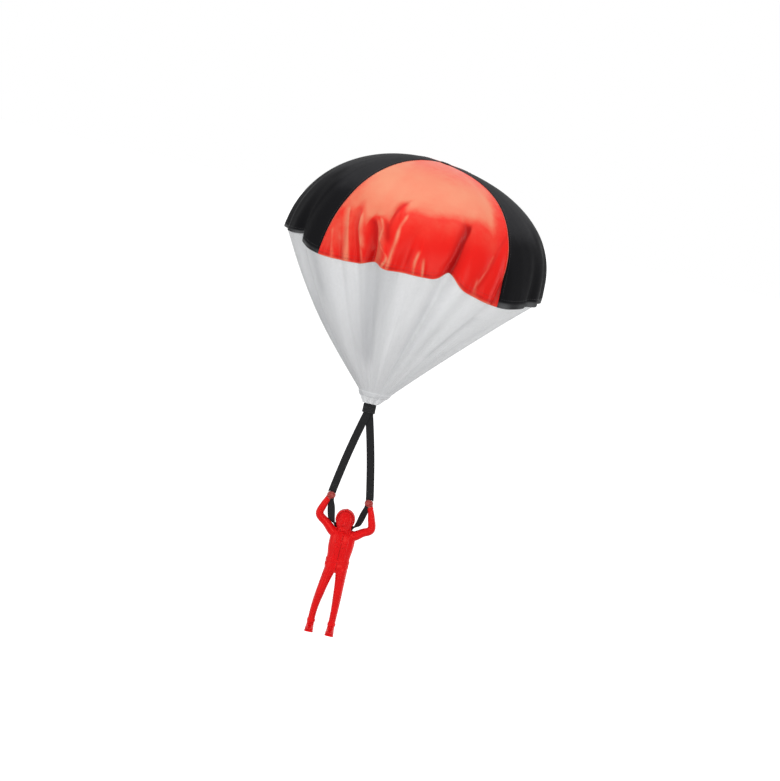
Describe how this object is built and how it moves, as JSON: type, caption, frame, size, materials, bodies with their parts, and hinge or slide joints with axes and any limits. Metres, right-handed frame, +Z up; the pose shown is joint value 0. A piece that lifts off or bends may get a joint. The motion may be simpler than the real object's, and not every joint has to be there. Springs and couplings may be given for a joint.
{
  "type": "toy parachute",
  "caption": "Toy parachute: a domed cloth canopy over a sheer net cone, gathered to webbing risers that a small moulded figure holds; it glides down when thrown",
  "frame": {"origin": "the top face of the canopy, straight above the knot where the risers meet", "axes": "+Z up along the plumb line from the knot, +X to the image's right, the figure faces -Y"},
  "size_m": [0.2655, 0.2613, 0.4901],
  "materials": {
    "gore_front": "satin nylon with soft folds",
    "gore_right": "satin nylon",
    "gore_back": "satin nylon with soft folds",
    "gore_left": "satin nylon",
    "net_skirt": "sheer fine netting",
    "net_gather": "bunched netting",
    "strap_fold": "woven webbing",
    "riser_left": "woven webbing",
    "riser_right": "woven webbing",
    "shoulder_strap": "woven webbing",
    "figure": "glossy moulded plastic"
  },
  "bodies": {
    "canopy": {"gore_front": "gore_front", "gore_right": "gore_right", "gore_back": "gore_back", "gore_left": "gore_left", "net_skirt": "net_skirt"},
    "net_end": {"net_gather": "net_gather"},
    "strap_end": {"strap_fold": "strap_fold"},
    "risers": {"riser_left": "riser_left", "riser_right": "riser_right"},
    "hanging_figure": {"figure": "figure", "shoulder_strap": "shoulder_strap"}
  },
  "joints": [
    {"name": "net_collapse", "type": "slide", "parent": "canopy", "child": "net_end", "axis": [0, 0, 1], "range_m": [0, 0.12], "deforming": ["net_skirt"]},
    {"name": "twist", "type": "hinge", "parent": "net_end", "child": "strap_end", "pos_m": [0, 0, -0.25261], "axis": [0, 0, 1], "range_deg": [-180, 180]},
    {"name": "swing", "type": "hinge", "parent": "strap_end", "child": "risers", "pos_m": [0, 0, -0.25881], "axis": [0, 1, 0], "range_deg": [-60, 60]},
    {"name": "figure_pitch", "type": "hinge", "parent": "risers", "child": "hanging_figure", "pos_m": [0, 0, -0.35111], "axis": [1, 0, 0], "range_deg": [-35, 35]}
  ]
}
